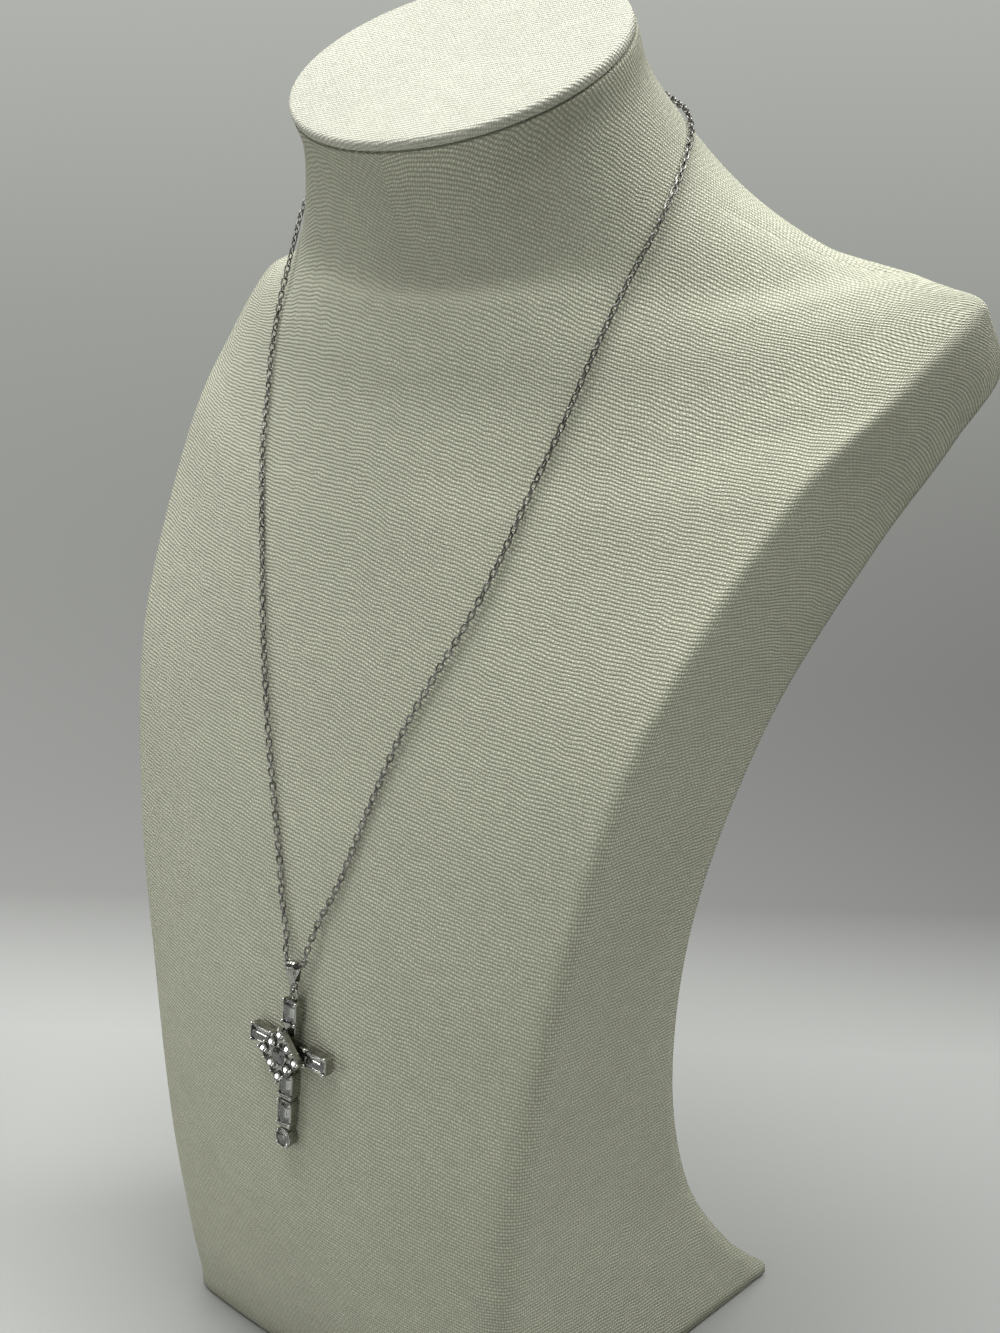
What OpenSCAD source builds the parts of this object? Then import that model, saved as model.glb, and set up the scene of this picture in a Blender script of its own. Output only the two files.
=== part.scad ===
// Cross necklace with clear stones on a linen neck bust.
// Millimetres, +Z up, +X to the wearer's left, the front of the bust looks along -Y.
// The origin is on the table, under the middle of the bust's foot.

/* [Bust] */
// Height of the middle of the slanted neck top above the table
bust_h = 350; // [347:1:353]
// Thickness of the dark sheet under the foot, whose edge shows as a line
base_sheet_t = 0.8; // [0.5:0.1:1.5]
// How far the dark sheet's edge lies inside the linen
base_sheet_inset = 1; // [0.5:0.5:3]
// Half width of the oval neck top
neck_a = 53.5; // [51:0.5:56]
// Half depth of the oval neck top, measured along its slant
neck_b = 36; // [34:0.5:38]
// Slant of the neck top, its front edge the lower one
neck_slant = 34; // [31:1:37]
// Distance of the neck top's middle behind the middle of the foot
neck_y = 13.5; // [12:0.5:15]

/* [Neck cap] */
// Thickness of the cap disc
cap_t = 3.2; // [2.5:0.1:5]
// Roundness of the cap's upper edge
cap_round = 1.4; // [0.8:0.1:2]
// Seam between the neck and the cap
cap_seam = 0.3; // [0.2:0.1:0.8]

/* [Chain] */
// Width of the fine cable chain over its links
chain_w = 1.8; // [1.4:0.1:1.9]
// Length of the plain clasp at the nape
clasp_l = 9; // [7:0.5:9.5]
// Diameter of the plain clasp
clasp_d = 3.2; // [2.8:0.1:3.6]

/* [Cross] */
// Width of the arms over their walls
arm_w = 5.1; // [4.8:0.1:5.4]
// Depth of the arms from back to upper edge
arm_t = 2.8; // [2.4:0.1:3.2]
// Length of a baguette setting of the long arm
box_l = 7.2; // [7.1:0.1:7.4]
// Length of the baguette settings of the side arms
side_box_l = 8.4; // [8:0.1:8.6]
// Distance from the crossing to the nearest settings of the long arm
arm_start = 6.8; // [6.7:0.1:7]
// Distance from the crossing to the settings of the side arms
side_start = 6; // [5.8:0.1:6.4]
// Bare joint between two settings of the long arm
joint_l = 1; // [0.6:0.1:1.2]
// Thickness of the walls round a stone
wall = 0.45; // [0.4:0.05:0.6]
// Diameter of the round setting at the foot of the cross
end_d = 5.6; // [5.2:0.1:5.8]
// Side of the square centre plate, which stands on its corner
plate_w = 11.2; // [11.2:0.1:11.6]
// Thickness of the centre plate
plate_t = 1.9; // [1.6:0.1:2.4]
// Open height between the arms and the centre plate
plate_lift = 1.3; // [1:0.1:1.6]
// How far the middle of the centre plate lies below the crossing
plate_drop = 0.9; // [0.8:0.1:1]
// Diameter of the beads that hold the stones
bead_d = 0.9; // [0.8:0.05:1]
// Height of the crossing above the table
cross_z = 105; // [104.8:0.1:105.2]
// Lean of the cross against the chest
cross_lean = 4.8; // [4.6:0.1:5]
// Tilt of the cross in its own plane, its left arm the lower one
cross_roll = 4; // [3.5:0.5:4.5]

/* [Bail and rings] */
// Length of the bail
bail_l = 7.4; // [7.2:0.1:7.6]
// Width of the bail at its top
bail_w = 2.8; // [2.4:0.1:3]
// Width of the bail at its foot
bail_foot_w = 2.2; // [2:0.1:2.4]
// Diameter of the hole that the chain runs through
bail_bore = 2.7; // [2.6:0.1:2.9]
// Thickness of the bail's strip
bail_wall = 0.6; // [0.5:0.05:0.7]
// Wire of the loop on top of the cross
loop_wire = 0.8; // [0.7:0.05:0.8]
// Mean diameter of the loop on top of the cross
loop_d = 2.6; // [2.5:0.1:2.8]
// Wire of the jump ring
ring_wire = 0.5; // [0.4:0.05:0.5]
// Mean diameter of the jump ring
ring_d = 2.3; // [2.3:0.1:2.5]

/* [Stones] */
// Diameter of the round stone in the middle of the plate
center_d = 4.6; // [4.4:0.1:4.6]
// Diameter of the eight small stones round it
small_d = 2.5; // [2.2:0.1:2.5]
// Distance between neighbouring stones of the plate
plate_pitch = 4.2; // [4.1:0.05:4.2]
// Gap between a stone and its setting
stone_gap = 0.08; // [0.05:0.01:0.12]

/* [Hidden] */
$fn = 32;

// The table of the bust is drawn for a height of 350 and grows with bust_h.
grow = bust_h / 350;

// One row is one band round the bust, from the foot to the neck.
// crease: where the front face turns into the side panel; edge: where the panel meets the back;
// front, back: the two middle lines as [y, z]; full: 2 is a shallow bow, 1 a half oval;
// soft: how far the crease is rounded. A panel narrower than MIN_PANEL is left out.
//   crease x, y, z     edge x, y, z      front y, z  back y, z   full  soft
BANDS = [
    [[   66,   -53,   0], [ 68,  57,     0], [  -58,   0], [ 57,   0], 2.0, 10],
    [[   66,   -53,   5], [ 68,  57,     4], [  -58,   5], [ 57,   4], 2.0, 10],
    [[   65,   -56,  25], [ 67,  38,    22], [  -63,  25], [ 38,  22], 2.0, 9],
    [[ 67.5,   -57,  60], [ 66,  20,    50], [-66.5,  60], [ 20,  50], 2.0, 8],
    [[   74, -52.5, 105], [ 71,   7.5,  92], [-63.5, 105], [7.5,  92], 2.0, 6],
    [[ 82.5, -45.5, 150], [ 79,   7.5, 140], [-55.5, 150], [7.5, 140], 2.0, 5],
    [[   93,   -30, 200], [ 92,  21,   190], [-43.5, 195], [ 21, 190], 2.0, 4],
    [[108.5,     6, 250], [108,  42,   231], [-31.5, 235], [ 42, 231], 2.0, 3],
    [[120.5,  35, 273.5], [120, 58.5,  257], [-25.5, 252], [ 56, 261], 1.9, 3],
    [[  127,  59, 291.3], [127,  69, 277.5], [-19.8, 268.5], [64, 290], 1.8, 2.5],
    [[112.5,    57, 297], [112,  60,   296], [-17.2, 281], [65.3, 303], 1.7, 3.5],
    [[   94,  50, 300.4], [ 93,  52,   300], [-13.8, 292.5], [66, 315], 1.5, 5]
];
// Neck ovals: half width, y of the middle, half depth, slant, z of the middle
NECK = [
    [66, 28.5, 41, 24, 317],
    [54, 19, 36.5, 26, 338]
];
SUB = 3;        // bands drawn between two rows
FRONT_N = 10;   // steps from the front's middle to the crease
CORNER_N = 3;   // points round the crease
PANEL_N = 3;    // steps across the side panel
BACK_N = 5;     // steps from the edge to the back's middle
MIN_PANEL = 0.3;

function mix(a, b, t) = a + (b - a) * t;
function unit(v) = v / norm(v);
function oval_row(a, y, b, slant, z) = [
    [a, y, z], [a, y, z],
    [y - b * cos(slant), z - b * sin(slant)], [y + b * cos(slant), z + b * sin(slant)],
    1, 0.5
];
ROWS = concat(
    BANDS,
    [for (n = NECK) oval_row(n[0], n[1], n[2], n[3], n[4])],
    [oval_row(neck_a, neck_y, neck_b, neck_slant, 350)]
);
TOP = len(ROWS) - 1;

// A smooth curve from p1 to p2, with p0 before and p3 after them
function spline(p0, p1, p2, p3, t) =
    0.5 * (2 * p1 + (p2 - p0) * t + (2 * p0 - 5 * p1 + 4 * p2 - p3) * t * t
           + (3 * p1 - p0 - 3 * p2 + p3) * t * t * t);
function row_at(i, t) =
    [for (c = [0 : 5]) let (
        p1 = ROWS[i][c], p2 = ROWS[i + 1][c],
        p0 = i > 1 ? ROWS[i - 1][c] : 2 * p1 - p2,
        p3 = i + 2 <= TOP ? ROWS[i + 2][c] : 2 * p2 - p1)
        spline(p0, p1, p2, p3, t)];

// Half of one band, from the middle of the front round to the middle of the back
function bow(w, mid, side, full, u) = let (k = 1 - pow(max(cos(u), 0), full))
    [w * sin(u), mix(mid[0], side[1], k), mix(mid[1], side[2], k)];
function half_band(r) = let (
        c = r[0], e = r[1], deep = norm(e - c),
        soft = min(r[5], 0.4 * deep + 0.1),
        stop = asin(1 - soft / c[0]),
        last = bow(c[0], r[2], c, r[4], stop),
        panelled = deep > MIN_PANEL,
        panel = panelled ? mix(c, e, min(soft / deep, 0.4)) : c)
    concat(
        [for (i = [0 : FRONT_N]) bow(c[0], r[2], c, r[4], stop * i / FRONT_N)],
        [for (i = [1 : CORNER_N]) let (t = i / (CORNER_N + 1))
            mix(mix(last, c, t), mix(c, panel, t), t)],
        panelled ? [for (i = [0 : PANEL_N - 1]) mix(panel, e, i / PANEL_N)]
            : [for (i = [0 : PANEL_N - 1]) bow(e[0], r[3], e, r[4], 90 - i)],
        [for (i = [0 : BACK_N]) let (u = (panelled ? 90 : 90 - PANEL_N) * (1 - i / BACK_N))
            bow(e[0], r[3], e, r[4], u)]
    );
function whole_band(r) = let (h = half_band(r), n = len(h)) concat(
    h, [for (i = [n - 2 : -1 : 1]) [-h[i][0], h[i][1], h[i][2]]]);
function lift(pts, dz) = [for (p = pts) [p[0], p[1], p[2] * grow + dz]];
function bust_rings() = concat(
    [lift(whole_band(ROWS[0]), base_sheet_t)],
    [for (i = [1 : TOP - 1], k = [0 : SUB - 1]) lift(whole_band(row_at(i, k / SUB)), 0)],
    [lift(whole_band(ROWS[TOP]), 0)]
);

// A closed solid through rings with equal numbers of points, with flat ends
module loft(rings) {
    n = len(rings[0]);
    m = len(rings);
    polyhedron(
        points = [for (r = rings, p = r) p],
        faces = concat(
            [[for (i = [0 : n - 1]) i]],
            [for (j = [0 : m - 2], i = [0 : n - 1], half = [0, 1])
                let (a = j * n + i, b = j * n + (i + 1) % n)
                half == 0 ? [a, a + n, b] : [b, a + n, b + n]],
            [[for (i = [n - 1 : -1 : 0]) (m - 1) * n + i]]
        )
    );
}
function circle_points(n, r, z, turn = 0) =
    [for (i = [0 : n - 1]) let (a = 360 * i / n + turn) [r * cos(a), r * sin(a), z]];

// Distance of the chest's middle line behind the origin at a height
function chest_y(z) = lookup(z, [for (r = ROWS) [r[2][1] * grow, r[2][0]]]);

// Frame of the cross: origin at the crossing on its back, X across, Y up the long arm,
// Z outwards from the chest
cross_gap = 0.6;
cross_x = 1;
cross_up = cross_z * grow;
cross_y = chest_y(cross_up) - cross_gap;
module in_cross_frame() {
    translate([cross_x, cross_y, cross_up]) rotate([-cross_lean, cross_roll, 0])
        rotate([90, 0, 0]) children();
}

// Places along the pendant, in the frame of the cross
arm_end = arm_start + box_l;
arm_mid = arm_start + box_l / 2;
side_mid = side_start + side_box_l / 2;
lower_pitch = box_l + joint_l;
end_at = -(arm_end + lower_pitch + joint_l + end_d / 2);
hang_z = arm_t / 2;
loop_y = arm_end + loop_d / 2 + 0.1;
ring_play = 0.08;
ring_y = loop_y + loop_d / 2 - loop_wire / 2 - ring_wire / 2 - ring_play + ring_d / 2;
eye_y = ring_y + ring_d / 2;
bail_lean = 5;
bail_turn = 14;

// Stones and their seats
girdle_drop = 0.15;
bead_lift = 0.28;
seat_deep = 1.7;
plate_seat_deep = 1.2;
corner_cut = 0.6;
plate_top = arm_t + plate_lift + plate_t;
stone_w = arm_w - 2 * wall - 2 * stone_gap;
end_stone_d = end_d - 2 * wall - 2 * stone_gap;
ARM_PLACES = [      // place, turn and length of the five baguette settings
    [0, arm_mid, 0, box_l], [-side_mid, 0, 90, side_box_l], [side_mid, 0, 90, side_box_l],
    [0, -arm_mid, 0, box_l], [0, -arm_mid - lower_pitch, 0, box_l]
];
PLATE_PLACES = [    // the eight small stones, round the middle one
    [-1, 1], [0, 1], [1, 1], [1, 0], [1, -1], [0, -1], [-1, -1], [-1, 0]
];

// Route of the chain's middle, the wearer's left half and right half, chosen by hand:
// from the bail, on the linen up the chest and round the neck to the clasp
ROUTE_LEFT = [
    [3, -63, 128], [4.5, -62.5, 129], [5, -62, 131], [5.5, -61, 133.5],
    [6.5, -60, 137], [8, -58.5, 141.5], [13.5, -56, 152.5], [20, -50.5, 172.5],
    [26.5, -45.5, 190], [34, -40, 206], [41, -34, 220.5], [46, -27.5, 235], [49.5, -20, 250],
    [53, -12, 265], [57.5, -1.5, 286], [60, 7, 299.5], [63, 14, 311], [63, 22, 320.5],
    [61, 28.5, 326.5], [56, 38, 333], [48.5, 46, 337.5], [42.5, 50, 339.5], [36.5, 53, 341.5],
    [24, 57, 343.5], [12, 59.5, 345], [5, 60.5, 346]
];
ROUTE_RIGHT = [
    [0, -63, 127.5], [-1.5, -62.5, 128.5], [-2.5, -62, 130.5], [-3.5, -60.5, 134],
    [-6.5, -58.5, 142.5], [-10, -55.5, 155], [-14, -52.5, 167], [-19, -48.5, 181.5],
    [-24, -44, 196], [-29, -39, 210.5], [-34.5, -33, 225], [-40.5, -26.5, 239.5],
    [-47, -19, 254], [-52, -11.5, 266.5], [-55.5, -6, 277], [-58.5, 1.5, 291], [-60.5, 9, 304],
    [-63, 16, 314], [-63, 22, 320.5], [-61, 28.5, 326.5], [-56, 38, 333], [-48.5, 46, 337.5],
    [-42.5, 50, 339.5], [-36.5, 53, 341.5], [-24, 57, 343.5], [-12, 59.5, 345], [-5, 60.5, 346]
];
clasp_at = [0, 60.5, 346];
CHAIN_RINGS = 79;
CHAIN_PTS = [for (p = concat([for (i = [len(ROUTE_RIGHT) - 1 : -1 : 0]) ROUTE_RIGHT[i]],
    ROUTE_LEFT)) [p[0], p[1], p[2] * grow]];
SPANS = len(CHAIN_PTS) - 1;
function chain_at(s) = let (
        i = min(floor(s), SPANS - 1), p1 = CHAIN_PTS[i], p2 = CHAIN_PTS[i + 1],
        p0 = i > 0 ? CHAIN_PTS[i - 1] : 2 * p1 - p2,
        p3 = i + 2 <= SPANS ? CHAIN_PTS[i + 2] : 2 * p2 - p1)
    spline(p0, p1, p2, p3, s - i);
function chain_ring(s) = let (
        dir = unit(chain_at(min(s + 0.02, SPANS)) - chain_at(max(s - 0.02, 0))),
        side = unit(cross(dir, [0, 1, 0])), up = cross(dir, side))
    [for (k = [0 : 7]) chain_at(s) + chain_w / 2 * (cos(45 * k) * side + sin(45 * k) * up)];

module bust_body() {
    color("#cfcab8") loft(bust_rings());
}

module base_sheet() {
    inside = 1 - base_sheet_inset / 60;
    color("#3c3a36") linear_extrude(base_sheet_t)
        polygon([for (p = whole_band(ROWS[0])) [p[0] * inside, p[1] * inside]]);
}

// An oval disc that bears on the neck and is rounded over at its upper edge
module neck_cap() {
    steps = 4;
    profile = concat(
        [[cap_round / 2, cap_seam], [0, cap_seam + cap_round / 2]],
        [for (i = [0 : steps]) let (a = 90 * i / steps)
            [cap_round * (1 - cos(a)), cap_t - cap_round * (1 - sin(a))]]);
    color("#ded9c8") translate([0, neck_y, bust_h]) rotate([neck_slant, 0, 0])
        loft([for (p = profile) [for (q = circle_points(48, 1, p[1]))
            [q[0] * (neck_a - p[0]), q[1] * (neck_b - p[0]), p[1]]]]);
}

// The chain is drawn as a round tube over its links
module chain() {
    color("#8b8a86") loft([for (k = [0 : CHAIN_RINGS - 1])
        chain_ring(SPANS * k / (CHAIN_RINGS - 1))]);
}

module clasp() {
    half = clasp_l / 2;
    color("#9a9994") translate([clasp_at[0], clasp_at[1], clasp_at[2] * grow])
        rotate([0, 90, 0]) rotate_extrude()
            polygon([[0, -half], [chain_w / 2, -half], [clasp_d / 2, -half + 1.5],
                [clasp_d / 2, half - 1.5], [chain_w / 2, half], [0, half]]);
}

// Two circles joined by their outer tangents: the drop that the bail is folded to
function drop(big, small, high) = let (lean = asin((big - small) / high)) concat(
    [for (i = [0 : 16]) let (a = mix(-lean, 180 + lean, i / 16))
        [big * cos(a), high + big * sin(a)]],
    [for (i = [0 : 8]) let (a = mix(180 + lean, 360 - lean, i / 8)) [small * cos(a), small * sin(a)]]
);
module bail() {
    big = bail_bore / 2 + bail_wall;
    foot_r = 0.42;
    foot_y = -0.45;
    eye_d = 0.9;
    bore_y = bail_l - big + foot_y - foot_r;
    color("#a9a8a3") in_cross_frame() translate([0, eye_y, hang_z]) rotate([-bail_lean, 0, bail_turn])
        difference() {
            intersection() {
                translate([bail_w / 2, foot_y, 0]) rotate([0, -90, 0]) linear_extrude(bail_w)
                    polygon(drop(big, foot_r, bore_y - foot_y));
                translate([0, 0, -big - 1]) linear_extrude(2 * big + 2) polygon([
                    [-bail_foot_w / 2, foot_y - foot_r], [bail_foot_w / 2, foot_y - foot_r],
                    [bail_w / 2, bore_y], [bail_w / 2, bail_l],
                    [-bail_w / 2, bail_l], [-bail_w / 2, bore_y]]);
            }
            translate([-bail_w, bore_y, 0]) rotate([0, 90, 0])
                cylinder(h = 2 * bail_w, d = bail_bore);
            translate([0, 0, -big]) cylinder(h = 2 * big, d = eye_d);
        }
}

module torus(mean_d, wire) {
    rotate_extrude() translate([mean_d / 2, 0]) circle(d = wire);
}
module jump_ring() {
    color("#8b8a86") in_cross_frame() translate([0, ring_y, hang_z]) rotate([0, 90, 0])
        torus(ring_d, ring_wire);
}

// A post with a round bead that closes over the edge of a stone
module bead(at, top, post) {
    translate([at[0], at[1], top - post]) cylinder(h = post + 0.2, d = bead_d * 0.6, $fn = 16);
    translate([at[0], at[1], top + bead_lift]) sphere(d = bead_d, $fn = 16);
}
module setting_box(w, l, h, cut) {
    linear_extrude(h) polygon([
        [-w / 2 + cut, -l / 2], [w / 2 - cut, -l / 2], [w / 2, -l / 2 + cut],
        [w / 2, l / 2 - cut], [w / 2 - cut, l / 2], [-w / 2 + cut, l / 2],
        [-w / 2, l / 2 - cut], [-w / 2, -l / 2 + cut]]);
}
module baguette_beads(l) {
    for (sx = [-1, 1], sy = [-1, 1])
        bead([sx * (arm_w / 2 - 0.3), sy * (l / 2 - 0.6)], arm_t, arm_t / 2);
}
module arms() {
    core_w = arm_w - 1.3;
    core_t = arm_t - 0.9;
    post_d = 5;
    difference() {
        union() {
            for (p = ARM_PLACES)
                translate([p[0], p[1], 0]) rotate(p[2]) setting_box(arm_w, p[3], arm_t, 0.4);
            translate([0, end_at, 0]) cylinder(h = arm_t, d = end_d);
            translate([-core_w / 2, end_at, 0.3]) cube([core_w, arm_start + 1 - end_at, core_t]);
            translate([-side_start - 1, -core_w / 2, 0.3])
                cube([2 * side_start + 2, core_w, core_t]);
            cylinder(h = arm_t + plate_lift + 0.1, d = post_d);
        }
        for (p = ARM_PLACES) translate([p[0], p[1], arm_t - seat_deep]) rotate(p[2])
            setting_box(arm_w - 2 * wall, p[3] - 2 * wall, seat_deep + 1, 0.35);
        translate([0, end_at, arm_t - seat_deep]) cylinder(h = seat_deep + 1, d = end_d - 2 * wall);
    }
    for (p = ARM_PLACES) translate([p[0], p[1], 0]) rotate(p[2]) baguette_beads(p[3]);
    for (a = [45 : 90 : 315])
        bead([0, end_at] + (end_d / 2 - 0.2) * [cos(a), sin(a)], arm_t, arm_t / 2);
    translate([0, loop_y, hang_z]) torus(loop_d, loop_wire);
    translate([-loop_wire * 0.8, arm_end - 0.6, hang_z - loop_wire * 0.4])
        cube([loop_wire * 1.6, 0.9, loop_wire * 0.8]);
}
module in_plate_frame() {
    in_cross_frame() translate([0, -plate_drop, 0]) rotate(45) children();
}
module centre_plate() {
    edge = plate_w / 2 - 0.3;
    inner = plate_pitch / 2;
    difference() {
        translate([0, 0, plate_top - plate_t]) setting_box(plate_w, plate_w, plate_t, 0.5);
        translate([0, 0, plate_top - plate_seat_deep])
            cylinder(h = plate_seat_deep + 1, d = center_d + 2 * stone_gap);
        for (p = PLATE_PLACES) translate([p[0], p[1], 0] * plate_pitch)
            translate([0, 0, plate_top - plate_seat_deep])
                cylinder(h = plate_seat_deep + 1, d = small_d + 2 * stone_gap);
    }
    for (x = [-edge, -inner, inner, edge], y = [-edge, -inner, inner, edge])
        bead([x, y], plate_top, 0.5);
}
module cross_setting() {
    color("#9c9b97") {
        in_cross_frame() arms();
        in_plate_frame() centre_plate();
    }
}

// Round stone, its girdle at z = 0: point, pavilion, girdle, crown and table
module round_stone(d, deep, n) {
    r = d / 2;
    half = 180 / n;
    loft([
        circle_points(n, 0.1 * r, -deep), circle_points(n, 0.62 * r, -0.45 * deep, half),
        circle_points(n, r, -0.05 * d, 2 * half), circle_points(n, r, 0, 2 * half),
        circle_points(n, 0.8 * r, 0.085 * d, 3 * half), circle_points(n, 0.56 * r, 0.14 * d, 4 * half)
    ]);
}
// Baguette stone with cut corners, its girdle at z = 0
function cut_ring(w, l, cut, z) = [
    [-w / 2 + cut, -l / 2, z], [w / 2 - cut, -l / 2, z], [w / 2, -l / 2 + cut, z],
    [w / 2, l / 2 - cut, z], [w / 2 - cut, l / 2, z], [-w / 2 + cut, l / 2, z],
    [-w / 2, l / 2 - cut, z], [-w / 2, -l / 2 + cut, z]];
module baguette_stone(setting_l) {
    w = stone_w;
    l = setting_l - 2 * wall - 2 * stone_gap;
    loft([
        cut_ring(0.4 * w, l - 0.6 * w, 0.2, -seat_deep + girdle_drop + stone_gap),
        cut_ring(0.8 * w, l - 0.2 * w, 0.45, -0.75),
        cut_ring(w, l, corner_cut, -0.15), cut_ring(w, l, corner_cut, 0),
        cut_ring(0.82 * w, l - 0.18 * w, 0.5, 0.32), cut_ring(0.6 * w, l - 0.4 * w, 0.4, 0.55)
    ]);
}
module arm_stone(i) {
    p = ARM_PLACES[i];
    color("#e4e8ea") in_cross_frame() translate([p[0], p[1], arm_t - girdle_drop]) rotate(p[2])
        baguette_stone(p[3]);
}
module stone_end() {
    color("#e4e8ea") in_cross_frame() translate([0, end_at, arm_t - girdle_drop])
        round_stone(end_stone_d, seat_deep - girdle_drop - stone_gap, 12);
}
module stone_center() {
    color("#e4e8ea") in_plate_frame() translate([0, 0, plate_top - girdle_drop])
        round_stone(center_d, plate_seat_deep - girdle_drop - stone_gap, 12);
}
module stone_small(i) {
    color("#e4e8ea") in_plate_frame()
        translate([PLATE_PLACES[i][0] * plate_pitch, PLATE_PLACES[i][1] * plate_pitch,
            plate_top - girdle_drop])
            round_stone(small_d, plate_seat_deep - girdle_drop - stone_gap, 8);
}

bust_body();
base_sheet();
neck_cap();
chain();
clasp();
bail();
jump_ring();
cross_setting();
arm_stone(0);  // stone_top
arm_stone(1);  // stone_left
arm_stone(2);  // stone_right
arm_stone(3);  // stone_lower_1
arm_stone(4);  // stone_lower_2
stone_end();
stone_center();
stone_small(0);  // stone_small_1
stone_small(1);  // stone_small_2
stone_small(2);  // stone_small_3
stone_small(3);  // stone_small_4
stone_small(4);  // stone_small_5
stone_small(5);  // stone_small_6
stone_small(6);  // stone_small_7
stone_small(7);  // stone_small_8
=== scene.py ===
import math

import bmesh
import bpy
import numpy as np
from mathutils import Matrix, Vector
from mathutils.bvhtree import BVHTree


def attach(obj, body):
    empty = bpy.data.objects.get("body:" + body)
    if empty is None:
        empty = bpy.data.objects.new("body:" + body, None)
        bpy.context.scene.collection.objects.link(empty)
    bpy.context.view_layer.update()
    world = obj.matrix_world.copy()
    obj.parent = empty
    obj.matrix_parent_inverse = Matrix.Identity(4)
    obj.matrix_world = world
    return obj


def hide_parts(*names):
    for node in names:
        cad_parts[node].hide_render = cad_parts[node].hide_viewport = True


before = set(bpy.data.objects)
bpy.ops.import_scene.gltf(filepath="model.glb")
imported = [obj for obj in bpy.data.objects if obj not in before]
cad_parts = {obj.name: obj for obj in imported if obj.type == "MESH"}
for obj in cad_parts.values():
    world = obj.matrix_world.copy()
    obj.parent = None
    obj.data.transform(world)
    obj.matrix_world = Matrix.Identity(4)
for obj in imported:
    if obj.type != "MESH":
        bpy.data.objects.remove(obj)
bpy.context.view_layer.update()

# Looks of a cross necklace with clear stones on a linen neck bust. Sizes are millimetres,
# and add_mesh turns them into metres. +X is the wearer's left, and the front looks along -Y.
MM = 0.001
rng = np.random.default_rng(11)


# Camera at the photograph's angle: place in millimetres, angles in degrees
CAMERA_AT = (351.97, -368.92, 345.84)
CAMERA_AZIMUTH = 41.96
CAMERA_ELEVATION = 16.72
CAMERA_ROLL = -1.89
FOCAL_PX = 1943.5
PHOTO_LONG_PX = 1333
SENSOR = 36.0


def add_camera():
    az, el, roll = (math.radians(a) for a in (CAMERA_AZIMUTH, CAMERA_ELEVATION, CAMERA_ROLL))
    back = Vector((math.sin(az) * math.cos(el), -math.cos(az) * math.cos(el), math.sin(el)))
    right = Vector((math.cos(az), math.sin(az), 0))
    up = back.cross(right)
    rolled_right = right * math.cos(roll) + up * math.sin(roll)
    rolled_up = up * math.cos(roll) - right * math.sin(roll)
    data = bpy.data.cameras.new("camera")
    data.sensor_width = SENSOR
    data.lens = FOCAL_PX / PHOTO_LONG_PX * SENSOR
    data.clip_start = 0.01
    camera = bpy.data.objects.new("camera", data)
    turn = Matrix((rolled_right, rolled_up, back)).transposed().to_4x4()
    camera.matrix_world = Matrix.Translation(Vector(CAMERA_AT) * MM) @ turn
    bpy.context.scene.collection.objects.link(camera)
    bpy.context.scene.camera = camera


# Materials
class Nodes:
    """A node tree made by short calls; a value is a number, a colour or a socket."""

    def __init__(self, owner):
        owner.use_nodes = True
        self.owner = owner
        self.tree = owner.node_tree
        self.tree.nodes.clear()

    def put(self, socket, value):
        if isinstance(value, bpy.types.NodeSocket):
            self.tree.links.new(value, socket)
        elif value is not None:
            socket.default_value = value

    def new(self, kind, **inputs):
        made = self.tree.nodes.new("ShaderNode" + kind)
        for name, value in inputs.items():
            self.put(made.inputs[name.replace("_", " ")], value)
        return made

    def calc(self, operation, *values, clamp=False):
        made = self.new("Math")
        made.operation = operation
        made.use_clamp = clamp
        for socket, value in zip(made.inputs, values):
            self.put(socket, value)
        return made.outputs[0]

    def vector(self, x, y, z=0.0):
        return self.new("CombineXYZ", X=x, Y=y, Z=z).outputs[0]

    def parts(self, vector):
        return self.new("SeparateXYZ", Vector=vector).outputs

    def noise(self, vector, scale=1.0, detail=1.0):
        return self.new("TexNoise", Vector=vector, Scale=scale, Detail=detail).outputs["Fac"]

    def remap(self, value, low, high, to_low=0.0, to_high=1.0):
        made = self.new("MapRange")
        for socket, given in zip(made.inputs, (value, low, high, to_low, to_high)):
            self.put(socket, given)
        return made.outputs[0]

    def blend(self, factor, a, b):
        made = self.new("Mix")
        made.data_type = "RGBA"
        for index, value in ((0, factor), (6, a), (7, b)):
            self.put(made.inputs[index], value)
        return made.outputs[2]

    def scaled(self, color, factor):
        made = self.new("VectorMath")
        made.operation = "SCALE"
        self.put(made.inputs[0], color)
        self.put(made.inputs["Scale"], factor)
        return made.outputs[0]

    def sideways(self, x, y, azimuth):
        """How far a place lies to the right, seen from that azimuth."""
        az = math.radians(azimuth)
        return self.calc("MULTIPLY_ADD", x, math.cos(az), self.calc("MULTIPLY", y, math.sin(az)))

    def bump(self, height, depth):
        return self.new("Bump", Height=height, Distance=depth, Strength=1.0).outputs[0]

    def surface(self, normal=None, **inputs):
        shader = self.new("BsdfPrincipled", **inputs)
        self.put(shader.inputs["Normal"], normal)
        out = self.new("OutputMaterial")
        self.tree.links.new(shader.outputs[0], out.inputs[0])
        return self.owner


def new_material(name):
    return Nodes(bpy.data.materials.new(name))


WARP = 0.70         # distance of the upright threads
WEFT = 1.00         # distance of the rows
SWAY, DRIFT = 1.1, 1.5      # how far upright threads and rows wander
THREAD_SHARE = 5.3  # picks another stretch of noise for each thread
THREAD_LOOK = 5     # length over which a thread's tone changes
DARK_LINE_IN = 2.6       # distance of the dark line on the back from the edge
WEAVE_DEPTH = 0.00038   # metres


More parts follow.
